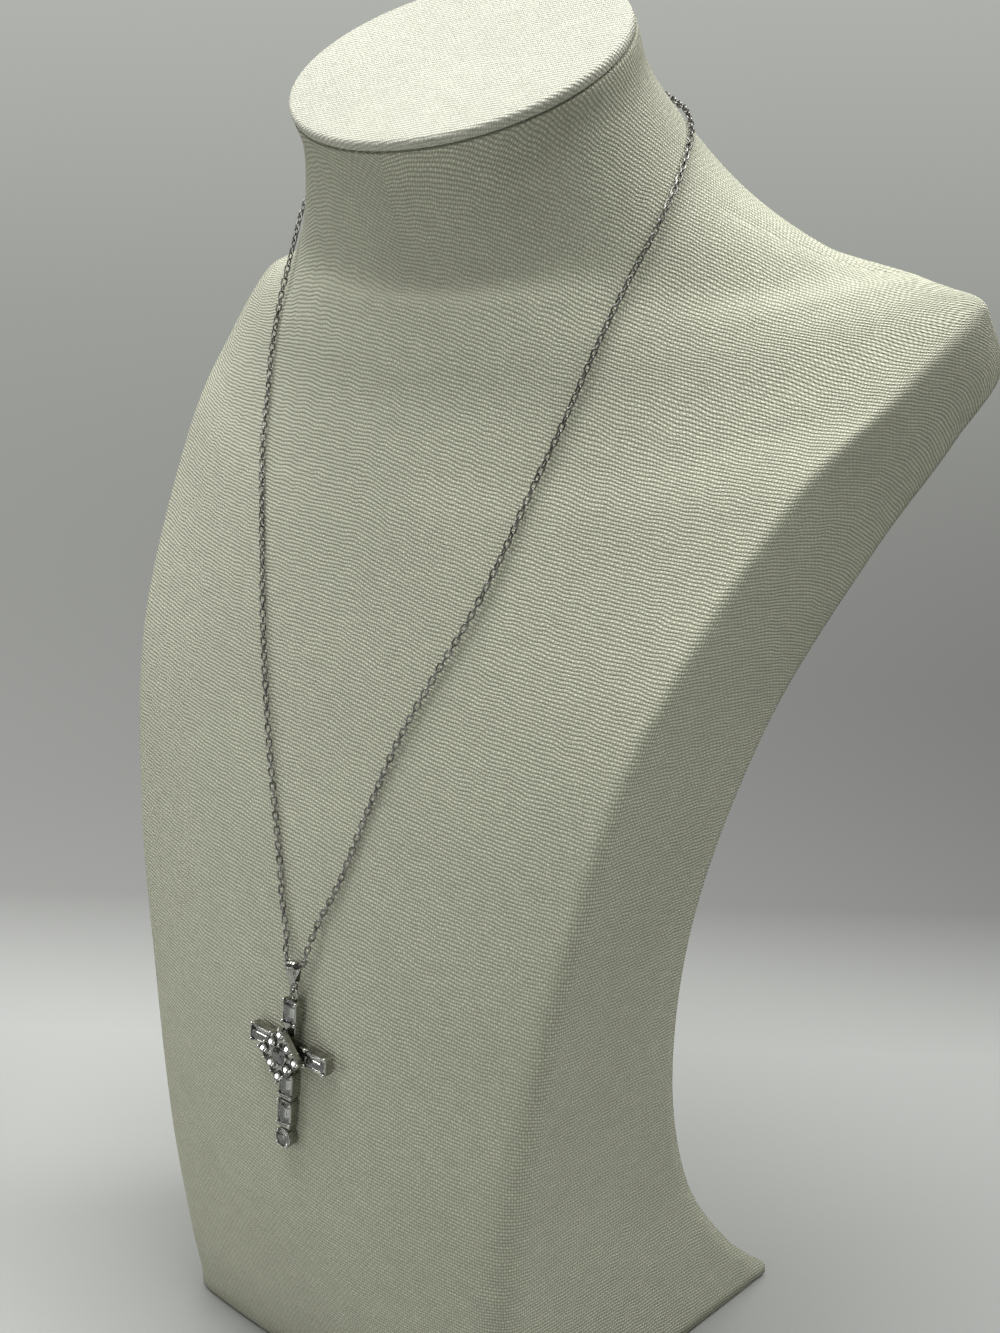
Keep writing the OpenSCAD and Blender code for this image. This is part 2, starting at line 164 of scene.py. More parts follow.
def linen(name, light, dark):
    """Plain weave in the cloth's millimetres, from the attribute cloth = (across, along, past the edge)."""
    s = new_material(name)
    calc = s.calc
    cloth = s.new("Attribute")
    cloth.attribute_name = "cloth"
    u, v, past = s.parts(cloth.outputs["Vector"])
    # Threads wander a little, and rows and columns differ in thickness and tone
    sway = calc("SUBTRACT", s.noise(s.vector(calc("DIVIDE", u, 9), calc("DIVIDE", v, 4))), 0.5)
    drift = calc("SUBTRACT", s.noise(s.vector(calc("DIVIDE", u, 6), calc("DIVIDE", v, 9), 8.0)), 0.5)
    a = calc("DIVIDE", calc("MULTIPLY_ADD", sway, SWAY, u), WARP)
    b = calc("DIVIDE", calc("MULTIPLY_ADD", drift, DRIFT, v), WEFT)
    i = calc("ROUND", a)
    j = calc("ROUND", b)
    along_row = calc("DIVIDE", u, THREAD_LOOK)
    along_column = calc("DIVIDE", v, THREAD_LOOK)
    row = s.noise(s.vector(along_row, calc("MULTIPLY", j, THREAD_SHARE)))
    column = s.noise(s.vector(calc("MULTIPLY", i, THREAD_SHARE), along_column, 4.0))
    # 1 where the row lies over the upright thread and -1 where it lies under it
    over = calc("COSINE", calc("MULTIPLY", calc("ADD", a, j), math.pi))
    under = calc("COSINE", calc("MULTIPLY", calc("ADD", b, i), math.pi))
    row_round = calc("COSINE", calc("MULTIPLY", calc("SUBTRACT", b, j), math.pi))
    column_round = calc("COSINE", calc("MULTIPLY", calc("SUBTRACT", a, i), math.pi))
    weft = calc("MULTIPLY", row_round, calc("MULTIPLY_ADD", over, 0.42, 0.58))
    warp = calc("MULTIPLY", column_round, calc("MULTIPLY_ADD", under, -0.40, 0.38))
    height = calc("SMOOTH_MAX", weft, warp, 0.12)
    on_top = s.remap(calc("SUBTRACT", weft, warp), -0.1, 0.1)
    thread = calc("ADD", calc("MULTIPLY", on_top, row),
                  calc("MULTIPLY", calc("SUBTRACT", 1.0, on_top), column))
    slub = s.remap(s.noise(s.vector(along_row, calc("MULTIPLY", j, 3.1), 2.0)), 0.70, 0.78)
    grain = s.noise(s.vector(calc("DIVIDE", u, 0.9), calc("DIVIDE", v, 0.6), 6.0), detail=2.0)
    patch = s.noise(s.vector(calc("DIVIDE", u, 45), calc("DIVIDE", v, 45)))
    # The low places of the weave take the darker colour: partly the threads' own tone, partly painted shade
    # between the threads
    color = s.blend(s.remap(height, 0.18, 0.92), dark, light)
    tone = calc("MULTIPLY", s.remap(thread, 0.25, 0.75, 0.90, 1.09),
                s.remap(patch, 0.3, 0.7, 0.97, 1.03))
    tone = calc("MULTIPLY", tone, s.remap(grain, 0.25, 0.75, 0.89, 1.10))
    tone = calc("MULTIPLY_ADD", slub, 0.10, tone)
    # A near-black line with a shallow groove runs on the back, a little in from the edge
    seam = s.remap(calc("ABSOLUTE", calc("SUBTRACT", past, DARK_LINE_IN)), 0.2, 0.45)
    tone = calc("MULTIPLY", tone, s.remap(seam, 0.0, 1.0, 0.12, 1.0))
    relief = calc("MULTIPLY", calc("MULTIPLY_ADD", grain, 0.3, height), seam)
    return s.surface(normal=s.bump(relief, WEAVE_DEPTH), Base_Color=s.scaled(color, tone),
                     Roughness=0.92, Specular_IOR_Level=0.25, Sheen_Weight=0.1, Sheen_Roughness=0.45)


def felt(name, color):
    s = new_material(name)
    place = s.new("TexCoord").outputs["Object"]
    fibre = s.noise(place, 2600.0, 4.0)
    tone = s.scaled(color, s.remap(fibre, 0.3, 0.7, 0.7, 1.25))
    return s.surface(normal=s.bump(fibre, 0.0002), Base_Color=tone, Roughness=0.95)


def silver(name, light, dark, rough, scratch):
    """Cast or drawn metal: tarnish in soft patches, fine scratches and a wavy polished face."""
    s = new_material(name)
    place = s.new("TexCoord").outputs["Object"]
    patch = s.noise(place, 420.0, 2.0)
    fine = s.noise(place, 5200.0, 4.0)
    wave = s.noise(place, 500.0, 1.0)
    color = s.blend(s.remap(patch, 0.35, 0.65), dark, light)
    relief = s.calc("MULTIPLY_ADD", fine, scratch, wave)
    return s.surface(normal=s.bump(relief, 0.00004), Base_Color=color, Metallic=1.0,
                     Roughness=s.remap(s.calc("ADD", patch, fine), 0.7, 1.3, rough, rough + 0.1))


def clear_stone(name):
    """Clear stone with a grey tint that is painted shade of its dark seat, and a few faint inclusions."""
    s = new_material(name)
    place = s.new("TexCoord").outputs["Object"]
    cloud = s.noise(place, 1300.0, 3.0)
    color = s.blend(s.remap(cloud, 0.45, 0.75), (0.52, 0.53, 0.49, 1), (0.34, 0.345, 0.32, 1))
    return s.surface(Base_Color=color, Roughness=s.remap(cloud, 0.4, 0.8, 0.01, 0.06), IOR=2.2,
                     Transmission_Weight=1.0)


# The second linen colour, for the low places of the weave, is partly painted shade between the threads
LINEN = linen("linen_weave", (0.73, 0.74, 0.59, 1), (0.33, 0.335, 0.25, 1))
# The cap's linen is a lighter copy of the bust's, painted light for its top that faces the overhead lamp
CAP_LINEN_PAINTED_LIGHT = linen("linen_cap_weave_painted_light", (0.765, 0.775, 0.66, 1), (0.47, 0.47, 0.385, 1))
# Near-black sheet under the foot: its colour is painted shade in the line along the base edge
FELT_PAINTED_SHADE = felt("foot_felt_painted_shade", (0.045, 0.043, 0.04))
CHAIN_METAL = silver("chain_metal", (0.34, 0.335, 0.32, 1), (0.16, 0.155, 0.145, 1), 0.22, 0.2)
CAST_METAL = silver("cast_metal", (0.42, 0.42, 0.385, 1), (0.27, 0.27, 0.245, 1), 0.13, 0.06)
# The beads' metal is a lighter copy of the cast metal, painted bright as their highlights
GRAIN_METAL_PAINTED_HIGHLIGHT = silver("grain_metal_painted_highlight", (0.60, 0.60, 0.56, 1), (0.48, 0.48, 0.45, 1), 0.20, 0.02)
STONE = clear_stone("colourless_stone_painted_shade")


# Meshes from lists of points in millimetres
def face_outwards(mesh):
    """Turns the faces of every closed part outwards."""
    work = bmesh.new()
    work.from_mesh(mesh)
    bmesh.ops.recalc_face_normals(work, faces=work.faces)
    work.to_mesh(mesh)
    work.free()


def add_mesh(name, points, faces, material, replaces=(), crisp=None):
    """Edges bent by more than crisp degrees stay sharp, or none of them where it isn't given."""
    mesh = bpy.data.meshes.new(name)
    mesh.from_pydata((np.asarray(points, float) * MM).tolist(), [], faces)
    face_outwards(mesh)
    mesh.polygons.foreach_set("use_smooth", [True] * len(mesh.polygons))
    if crisp is not None:
        mesh.set_sharp_from_angle(angle=math.radians(crisp))
    mesh.materials.append(material)
    made = bpy.data.objects.new(name, mesh)
    bpy.context.scene.collection.objects.link(made)
    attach(made, "root")
    if replaces:
        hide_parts(*replaces)
    return made


def placed(points, matrix):
    m = np.array(matrix)
    return np.asarray(points, float) @ m[:3, :3].T + m[:3, 3]


def set_cloth(piece, values, domain="POINT"):
    made = piece.data.attributes.new("cloth", "FLOAT_VECTOR", domain)
    made.data.foreach_set("vector", np.asarray(values, np.float32).ravel())


def grid_faces(rows, columns, start=0):
    """Quads between rows of points, each row a closed ring."""
    return [(start + r * columns + c, start + r * columns + (c + 1) % columns,
             start + (r + 1) * columns + (c + 1) % columns, start + (r + 1) * columns + c)
            for r in range(rows - 1) for c in range(columns)]


def loft(rings):
    """Points and faces of a closed solid through rings with equal numbers of points."""
    rings = np.asarray(rings, float)
    rows, columns = rings.shape[:2]
    faces = grid_faces(rows, columns)
    faces.append(tuple(range(columns))[::-1])
    faces.append(tuple((rows - 1) * columns + c for c in range(columns)))
    return rings.reshape(-1, 3), faces


def joined(parts):
    """One list of points and faces from several."""
    points, faces, start = [], [], 0
    for part_points, part_faces in parts:
        points.append(np.asarray(part_points, float))
        faces += [tuple(i + start for i in f) for f in part_faces]
        start += len(part_points)
    return np.concatenate(points), faces


def flat_ends(piece):
    """The two end faces of a loft stay flat, so that the edges round them are crisp."""
    for polygon in list(piece.data.polygons)[-2:]:
        polygon.use_smooth = False


# Bust, a row for each band: crease x y z, edge x y z, front y z, back y z, how full it bows and
# the radius of its crease. The crease joins the front and the side panel, the edge panel and back.
BANDS = [
    [66, -53, 0, 68, 57, 0, -58, 0, 57, 0, 2.0, 10],
    [66, -53, 5, 68, 57, 4, -58, 5, 57, 4, 2.0, 10],
    [65, -56, 25, 67, 38, 22, -63, 25, 38, 22, 2.0, 9],
    [67.5, -57, 60, 66, 20, 50, -66.5, 60, 20, 50, 2.0, 8],
    [74, -52.5, 105, 71, 7.5, 92, -63.5, 105, 7.5, 92, 2.0, 6],
    [82.5, -45.5, 150, 79, 7.5, 140, -55.5, 150, 7.5, 140, 2.0, 5],
    [93, -30, 200, 92, 21, 190, -43.5, 195, 21, 190, 2.0, 4],
    [108.5, 6, 250, 108, 42, 231, -31.5, 235, 42, 231, 2.0, 3],
    [120.5, 35, 273.5, 120, 58.5, 257, -25.5, 252, 56, 261, 1.9, 3],
    [127, 59, 291.3, 127, 69, 277.5, -19.8, 268.5, 64, 290, 1.8, 2.5],
    [112.5, 57, 297, 112, 60, 296, -17.2, 281, 65.3, 303, 1.7, 3.5],
    [94, 50, 300.4, 93, 52, 300, -13.8, 292.5, 66, 315, 1.5, 5],
]
TIP_ROW = 9     # the row at the shoulder's tip
MIN_PANEL = 0.3     # a side panel narrower than this is left out
SIDE_ARC = 3        # degrees of the bow that its points take then
# Neck ovals: half width, y of the middle, half depth, slant, z of the middle
NECK = [
    [66, 28.5, 41, 24, 317],
    [54, 19, 36.5, 26, 338],
    [53.5, 13.5, 36, 34, 350],
]
SUB = 14
FRONT_N, CORNER_N, PANEL_N, BACK_N = 60, 12, 16, 30
FOOT_LIFT = 0.8
NECK_TOP = NECK[-1]


def oval_row(a, y, b, slant, z):
    s = math.radians(slant)
    front = [y - b * math.cos(s), z - b * math.sin(s)]
    back = [y + b * math.cos(s), z + b * math.sin(s)]
    return [a, y, z, a, y, z] + front + back + [1.0, 0.5]


def mix(a, b, t):
    return a + (b - a) * t


ROWS = np.array(BANDS + [oval_row(*n) for n in NECK], float)


def spline(points, i, t, first=0):
    """Smooth curve through points, between points i and i + 1."""
    p1, p2 = points[i], points[i + 1]
    p0 = points[i - 1] if i > first else 2 * p1 - p2
    p3 = points[i + 2] if i + 2 < len(points) else 2 * p2 - p1
    return 0.5 * (2 * p1 + (p2 - p0) * t + (2 * p0 - 5 * p1 + 4 * p2 - p3) * t ** 2
                  + (3 * p1 - p0 - 3 * p2 + p3) * t ** 3)


def bow(width, middle, side, full, angles):
    k = (1 - np.maximum(np.cos(angles), 0) ** full)[:, None]
    yz = middle + (side[1:] - middle) * k
    return np.column_stack([width * np.sin(angles), yz])


def half_band(row):
    """Half of one band, from the middle of the front round to the middle of the back."""
    crease, edge, front, back, full, radius = row[0:3], row[3:6], row[6:8], row[8:10], row[10], row[11]
    deep = np.linalg.norm(edge - crease)
    soft = min(radius, 0.4 * deep + 0.1)
    stop = math.asin(1 - soft / crease[0])
    face = bow(crease[0], front, crease, full, np.linspace(0, stop, FRONT_N + 1))
    panelled = deep > MIN_PANEL
    if not panelled:
        crease = edge = (crease + edge) / 2
    first = crease + (edge - crease) * min(soft / deep, 0.4) if panelled else crease
    t = np.linspace(0, 1, CORNER_N + 2)[1:-1, None]
    corner = (1 - t) ** 2 * face[-1] + 2 * t * (1 - t) * crease + t ** 2 * first
    share = np.arange(PANEL_N) / PANEL_N
    if panelled:
        panel = first + (edge - first) * share[:, None]
        turn = math.pi / 2
    else:
        panel = bow(edge[0], back, edge, full, np.radians(90 - SIDE_ARC * share))
        turn = math.radians(90 - SIDE_ARC)
    rear = bow(edge[0], back, edge, full, np.linspace(turn, 0, BACK_N + 1))
    return np.concatenate([face, corner, panel, rear])


def bust_bands():
    bands = [half_band(ROWS[0]) + (0, 0, FOOT_LIFT)]
    for i in range(1, len(ROWS) - 1):
        for k in range(SUB):
            bands.append(half_band(spline(ROWS, i, k / SUB, first=1)))
    bands.append(half_band(ROWS[-1]))
    return np.array(bands)


# How the cloth lies on the bust: rows fall towards the wearer's left on the front, fall gently
# towards the back on the side panels and bend down behind the shoulders
FRONT_TILT = math.tan(math.radians(9))
PANEL_TILT = math.tan(math.radians(5))
PANEL_BEND = 1.1    # how strongly they bend down there
NECK_FALL = 1.1     # how strongly the rows bend down at the sides of the neck
NO_DARK_LINE = -10       # a place past the edge where no dark line runs
SOLVER_STEPS = 3000


def surface_normals(points):
    """Outward normals of a grid of points whose rows climb and whose columns go round."""
    normals = np.cross(np.gradient(points, axis=1), np.gradient(points, axis=0))
    return normals / (np.linalg.norm(normals, axis=2)[:, :, None] + 1e-9)


def flattened(direction, normals):
    """The directions laid into the surface, of length 1 except where they point out of it."""
    flat = direction - (direction * normals).sum(2)[:, :, None] * normals
    return flat / np.maximum(np.linalg.norm(flat, axis=2), 0.4)[:, :, None]


def spread(points, aim, used, start):
    """Values that grow by a millimetre for each one along aim, as evenly as the surface allows.

    The first column keeps its start values, and the others are found by least squares."""
    across = np.linalg.norm(np.gradient(points, axis=1), axis=2) + 0.02
    climb = np.linalg.norm(np.gradient(points, axis=0), axis=2) + 0.02
    ratio = np.clip(across / climb, 0.05, 20)
    upright = used[1:] & used[:-1]
    level = used[:, 1:] & used[:, :-1]
    weight_up = upright * (ratio[1:] + ratio[:-1]) / 2
    weight_level = level / ((ratio[:, 1:] + ratio[:, :-1]) / 2)

    def gathered(up, sideways):
        total = np.zeros(used.shape)
        total[1:] += up
        total[:-1] -= up
        total[:, 1:] += sideways
        total[:, :-1] -= sideways
        return total

    def pulled(values):
        return gathered(weight_up * np.diff(values, axis=0), weight_level * np.diff(values, axis=1))

    wanted_up = ((aim[1:] + aim[:-1]) / 2 * np.diff(points, axis=0)).sum(2)
    wanted_level = ((aim[:, 1:] + aim[:, :-1]) / 2 * np.diff(points, axis=1)).sum(2)
    free = used.copy()
    free[:, 0] = False
    load = np.ones(used.shape)
    load[1:] += weight_up
    load[:-1] += weight_up
    load[:, 1:] += weight_level
    load[:, :-1] += weight_level
    found = start.copy()
    rest = free * (gathered(weight_up * wanted_up, weight_level * wanted_level) - pulled(found))
    step = rest / load
    size = first = (rest * step).sum()
    for _ in range(SOLVER_STEPS):
        change = free * pulled(step)
        reach = size / (step * change).sum()
        found += reach * step
        rest -= reach * change
        ready = rest / load
        before, size = size, (rest * ready).sum()
        if size < 1e-9 * first:
            break
        step = ready + size / before * step
    return found


def cloth_on(half, side):
    """Cloth coordinates of one half, side 1 for the wearer's left and -1 for the right."""
    bands = half * (side, 1, 1)
    gaps = np.linalg.norm(np.diff(bands, axis=1), axis=2)
    across = np.concatenate([np.zeros((len(bands), 1)), np.cumsum(gaps, 1)], 1)
    rise = np.linalg.norm(np.diff(bands, axis=0), axis=2)
    along = np.concatenate([np.zeros((1, bands.shape[1])), np.cumsum(rise, 0)])
    crease = FRONT_N + CORNER_N // 2
    edge = FRONT_N + CORNER_N + PANEL_N + 1
    tip = SUB * (TIP_ROW - 1) + 1
    rows, columns = np.indices(across.shape)
    # Behind the crease the values are found only from the shoulder's tip upwards
    used = (columns <= crease) | (rows >= tip)
    # Over the shoulders and round the neck the rows bend down towards the back
    share = np.clip((rows - tip) / (2 * SUB), 0, 1)
    fall = NECK_FALL * share * share * (3 - 2 * share)
    normals = surface_normals(bands) * side
    level = np.stack([np.zeros_like(fall), fall, np.ones_like(fall)], 2)
    tilted = level + (FRONT_TILT, 0, 0)
    climbed = np.repeat(along[:, :1], bands.shape[1], 1)
    v = spread(bands, flattened(tilted, normals), used, climbed)
    u = spread(bands, np.cross(flattened(level, normals), normals), used, np.zeros_like(v))
    # The side panels and the back hang from the crease
    z = bands[:, :, 2]
    out = across - across[:, crease:crease + 1]
    width = np.maximum(out[:, edge:edge + 1], 1.0)
    bend = np.maximum(out / width - 0.45, 0) ** 2 * width * PANEL_BEND
    high = np.clip((z - 190) / 80, 0, 1)
    panel = v[:, crease:crease + 1] + (z - z[:, crease:crease + 1]) + PANEL_TILT * out + bend * high
    panel[:, edge:] = panel[:, edge:edge + 1] + along[:, edge:] - along[:, edge:edge + 1]
    share = np.clip((rows - tip) / SUB, 0, 1)
    share = share * share * (3 - 2 * share)
    behind = columns > crease
    v = np.where(behind, mix(panel, v, share), v)
    u = np.where(behind, mix(u[:, crease:crease + 1] + side * out, u, share), u)
    past = across - across[:, edge:edge + 1]
    past[tip:] = NO_DARK_LINE
    return np.stack([u, v, past], 2)


def make_bust():
    half = bust_bands()
    flip = np.array([-1, 1, 1])
    rings = np.concatenate([half, (half * flip)[:, -2:0:-1]], 1)
    left = cloth_on(half, 1)
    right = cloth_on(half, -1)
    cloth = np.concatenate([left, right[:, -2:0:-1]], 1)
    points, faces = loft(rings)
    piece = add_mesh("linen_bust", points, faces, LINEN, ["bust_body"])
    flat_ends(piece)
    set_cloth(piece, *split_at_back(piece, cloth, right[:, -1]))
    return BVHTree.FromPolygons(points.tolist(), faces)


def split_at_back(piece, cloth, right_end):
    """Cloth values for every corner of a face, with the halves' own threads where they meet behind."""
    rows, columns = cloth.shape[:2]
    seam = columns // 2
    corners = np.empty(len(piece.data.loops), int)
    piece.data.loops.foreach_get("vertex_index", corners)
    values = cloth.reshape(-1, 3)[corners]
    for r in range(rows - 1):
        for corner in piece.data.polygons[r * columns + seam].loop_indices:
            row, column = divmod(corners[corner], columns)
            if column == seam:
                values[corner] = right_end[row]
    return values, "CORNER"


# Neck cap: an oval board with linen drawn over its rounded rim
CAP_T, CAP_ROUND, CAP_SEAM = 3.2, 1.4, 0.3
CAP_SIDES = 144
CAP_WEAVE_TURN = -14    # how the cap's threads lie across it, in degrees
CAP_RINGS = (4, 10, 18, 26, 33)     # rings of points on the flat top, in from the rim


def make_cap():
    a, y, b, slant, z = NECK_TOP
    turn = [math.radians(90 * i / 8) for i in range(9)]
    # From the seam up: pairs of inset and height
    profile = [(0.9, CAP_SEAM), (0.35, CAP_SEAM + 0.15), (0, CAP_SEAM + 0.6)]
    profile += [(CAP_ROUND * (1 - math.cos(t)), CAP_T - CAP_ROUND * (1 - math.sin(t))) for t in turn]
    profile += [(profile[-1][0] + d, CAP_T) for d in CAP_RINGS]
    angle = np.linspace(0, 2 * math.pi, CAP_SIDES, endpoint=False)
    round_about = np.column_stack([np.cos(angle), np.sin(angle)])
    start = profile[-1][0]
    weave = math.radians(CAP_WEAVE_TURN)
    rings, cloth = [], []
    # The cloth is drawn flat over the top and on over the rim
    reach = [0.0]
    for before, after in zip(profile[::-1], profile[-2::-1]):
        reach.append(reach[-1] + math.dist(before, after))
    for (inset, high), gone in zip(profile, reach[::-1]):
        rings.append(np.column_stack([round_about * (a - inset, b - inset), np.full(CAP_SIDES, high)]))
        across = round_about * (a - start, b - start) + round_about * gone
        cloth.append(np.column_stack([
            across[:, 0] * math.cos(weave) - across[:, 1] * math.sin(weave),
            across[:, 0] * math.sin(weave) + across[:, 1] * math.cos(weave),
            np.full(CAP_SIDES, NO_DARK_LINE)]))
    points, faces = loft(rings)
    lying = Matrix.Translation((0, y, z)) @ Matrix.Rotation(math.radians(slant), 4, "X")
    piece = add_mesh("linen_cap", placed(points, lying), faces, CAP_LINEN_PAINTED_LIGHT, ["neck_cap"])
    set_cloth(piece, np.concatenate(cloth))


# Chain: the route of its middle, the wearer's left half and right half
ROUTE_LEFT = [
    (3, -63, 128), (4.5, -62.5, 129), (5, -62, 131), (5.5, -61, 133.5),
    (6.5, -60, 137), (8, -58.5, 141.5), (13.5, -56, 152.5), (20, -50.5, 172.5),
    (26.5, -45.5, 190), (34, -40, 206), (41, -34, 220.5), (46, -27.5, 235), (49.5, -20, 250),
    (53, -12, 265), (57.5, -1.5, 286), (60, 7, 299.5), (63, 14, 311), (63, 22, 320.5),
    (61, 28.5, 326.5), (56, 38, 333), (48.5, 46, 337.5), (42.5, 50, 339.5), (36.5, 53, 341.5),
    (24, 57, 343.5), (12, 59.5, 345), (5, 60.5, 346),
]
ROUTE_RIGHT = [
    (0, -63, 127.5), (-1.5, -62.5, 128.5), (-2.5, -62, 130.5), (-3.5, -60.5, 134),
    (-6.5, -58.5, 142.5), (-10, -55.5, 155), (-14, -52.5, 167), (-19, -48.5, 181.5),
    (-24, -44, 196), (-29, -39, 210.5), (-34.5, -33, 225), (-40.5, -26.5, 239.5),
    (-47, -19, 254), (-52, -11.5, 266.5), (-55.5, -6, 277), (-58.5, 1.5, 291), (-60.5, 9, 304),
    (-63, 16, 314), (-63, 22, 320.5), (-61, 28.5, 326.5), (-56, 38, 333), (-48.5, 46, 337.5),
    (-42.5, 50, 339.5), (-36.5, 53, 341.5), (-24, 57, 343.5), (-12, 59.5, 345), (-5, 60.5, 346),
]
LINK_PITCH = 1.94
LINK_W = 1.8
LINK_WIRE = 0.46
LINK_STEPS, WIRE_SIDES = 14, 6
LINK_REST = 0.9     # height of the chain's middle over the cloth
LINK_REACH = 0.7    # half of the stretch that gives a link its direction
LINK_TURN = 38      # how the first link stands to the cloth, in degrees
LINK_SWING, SWING_KEPT = 5, 0.93    # how far the twist drifts per link, and how much of it stays


def route_points(per_span=24):
    points = np.array(ROUTE_RIGHT[::-1] + ROUTE_LEFT, float)
    line = [spline(points, i, k / per_span) for i in range(len(points) - 1) for k in range(per_span)]
    return np.array(line + [points[-1]])


def link_template(pitch):
    """A long oval link along X in the XY plane, its wire a little over its neighbours' ends."""
    radius = (LINK_W - LINK_WIRE) / 2
    straight = (pitch + LINK_WIRE + 0.02) / 2 - radius
    half = LINK_STEPS // 2
    angles = [math.pi * (k + 0.5) / half - math.pi / 2 for k in range(half)]
    path = [(straight + radius * math.cos(t), radius * math.sin(t)) for t in angles]
    path += [(-x, -y) for x, y in path]
    path = np.array(path)
    ahead = np.roll(path, -1, 0) - np.roll(path, 1, 0)
    ahead /= np.linalg.norm(ahead, axis=1)[:, None]
    outward = np.column_stack([ahead[:, 1], -ahead[:, 0]])
    points = []
    for centre, out in zip(path, outward):
        for k in range(WIRE_SIDES):
            t = 2 * math.pi * k / WIRE_SIDES
            side = centre + out * LINK_WIRE / 2 * math.cos(t)
            points.append((side[0], side[1], LINK_WIRE / 2 * math.sin(t)))
    faces = grid_faces(LINK_STEPS, WIRE_SIDES)
    last = (LINK_STEPS - 1) * WIRE_SIDES
    faces += [(last + k, last + (k + 1) % WIRE_SIDES, (k + 1) % WIRE_SIDES, k) for k in range(WIRE_SIDES)]
    return np.array(points), faces


def make_chain(bust):
    line = route_points()
    for k, p in enumerate(line):
        near, normal, _, gap = bust.find_nearest(Vector(p))
        if gap < LINK_REST or (Vector(p) - near).dot(normal) < 0:
            line[k] = near + normal * LINK_REST
    run = np.concatenate([[0], np.cumsum(np.linalg.norm(np.diff(line, axis=0), axis=1))])
    count = round(run[-1] / LINK_PITCH)
    pitch = run[-1] / count
    template, faces = link_template(pitch)
    parts = []
    twist = 0.0
    for k in range(count):
        s = (k + 0.5) * pitch
        at, before, after = (np.array([np.interp(x, run, line[:, c]) for c in range(3)])
                             for x in (s, s - LINK_REACH, s + LINK_REACH))
        along = Vector(after - before).normalized()
        _, normal, _, _ = bust.find_nearest(Vector(at))
        side = along.cross(normal).normalized()
        out = side.cross(along)
        twist = SWING_KEPT * twist + rng.normal(0, LINK_SWING)
        angle = math.radians(LINK_TURN + twist + rng.normal(0, LINK_SWING) + 90 * (k % 2))
        across = side * math.cos(angle) + out * math.sin(angle)
        basis = np.array([along, across, along.cross(across)])
        parts.append((template @ basis + at, faces))
    points, all_faces = joined(parts)
    add_mesh("chain_links", points, all_faces, CHAIN_METAL, ["chain"])


# Cross: its own frame has its origin at the crossing on the back, X across, Y up, Z outwards
CROSS_X, CROSS_Z, CROSS_GAP = 1, 105, 0.6
CROSS_LEAN, CROSS_ROLL = 4.8, 4
ARM_W, ARM_T = 5.1, 2.8
BOX_L, ARM_START, JOINT_L = 7.2, 6.8, 1
SIDE_BOX_L, SIDE_START = 8.4, 6
WALL, END_D = 0.45, 5.6
PLATE_W, PLATE_T, PLATE_LIFT, PLATE_PITCH = 11.2, 1.9, 1.3, 4.2
BEAD_D, ARM_BEAD_D = 0.9, 1.1
BEAD_RISE = 0.73    # top of a bead over the setting's rim
BEAD_POST_R = 0.27
PLATE_FLOOR = 0.6   # depth of the plate's ground below its rim
PLATE_RIM = 0.35
PLATE_DROP = 0.9    # distance of the plate's middle below the crossing
PLATE_POST_R = 2.5
CORE_W = ARM_W - 1.3    # width of the bars between the settings
CORE_LOW, CORE_HIGH = 0.3, ARM_T - 0.6
CORE_GRIP = 0.3     # how far a bar reaches into a setting's wall
RIDGE_T, RIDGE_SIDE, RIDGE_TOP = 0.56, 0.25, 0.35   # a ridge stands round each bar of the long arm
ARM_BEAD_IN, ARM_BEAD_DOWN, END_BEAD_IN = 0.3, 0.6, 0.2     # beads in from the settings' edges
CENTER_COLLET, SMALL_COLLET = 0.34, 0.16
LOOP_D, LOOP_WIRE = 2.6, 0.8
RING_D, RING_WIRE = 2.3, 0.5
CENTER_D, SMALL_D, STONE_GAP = 4.6, 2.5, 0.08
SEAT_DEEP, PLATE_SEAT_DEEP, GIRDLE_DROP = 1.7, 1.2, 0.15

arm_end = ARM_START + BOX_L
arm_mid = ARM_START + BOX_L / 2
side_mid = SIDE_START + SIDE_BOX_L / 2
lower_pitch = BOX_L + JOINT_L
end_at = -(arm_end + lower_pitch + JOINT_L + END_D / 2)
hang_z = ARM_T / 2
loop_y = arm_end + LOOP_D / 2 + 0.1
ring_y = loop_y + LOOP_D / 2 - LOOP_WIRE / 2 - RING_WIRE / 2 - 0.08 + RING_D / 2
eye_y = ring_y + RING_D / 2
plate_top = ARM_T + PLATE_LIFT + PLATE_T
ARM_PLACES = [(0, arm_mid, 0, BOX_L), (-side_mid, 0, 90, SIDE_BOX_L), (side_mid, 0, 90, SIDE_BOX_L),
              (0, -arm_mid, 0, BOX_L), (0, -arm_mid - lower_pitch, 0, BOX_L)]
ARM_STONES = ["stone_top", "stone_left", "stone_right", "stone_lower_1", "stone_lower_2"]
PLATE_PLACES = [(-1, 1), (0, 1), (1, 1), (1, 0), (1, -1), (0, -1), (-1, -1), (-1, 0)]


def cross_matrix():
    fronts = sorted((row[7], row[6]) for row in ROWS)
    chest_y = np.interp(CROSS_Z, [f[0] for f in fronts], [f[1] for f in fronts])
    turn = Matrix.Rotation(math.radians(CROSS_ROLL), 4, "Y")
    lean = Matrix.Rotation(math.radians(90 - CROSS_LEAN), 4, "X")
    return Matrix.Translation((CROSS_X, chest_y - CROSS_GAP, CROSS_Z)) @ turn @ lean


CROSS = cross_matrix()


def moved(part, at=(0, 0, 0), turn=0.0):
    points, faces = part
    m = Matrix.Translation(at) @ Matrix.Rotation(math.radians(turn), 4, "Z")
    return placed(points, m), faces


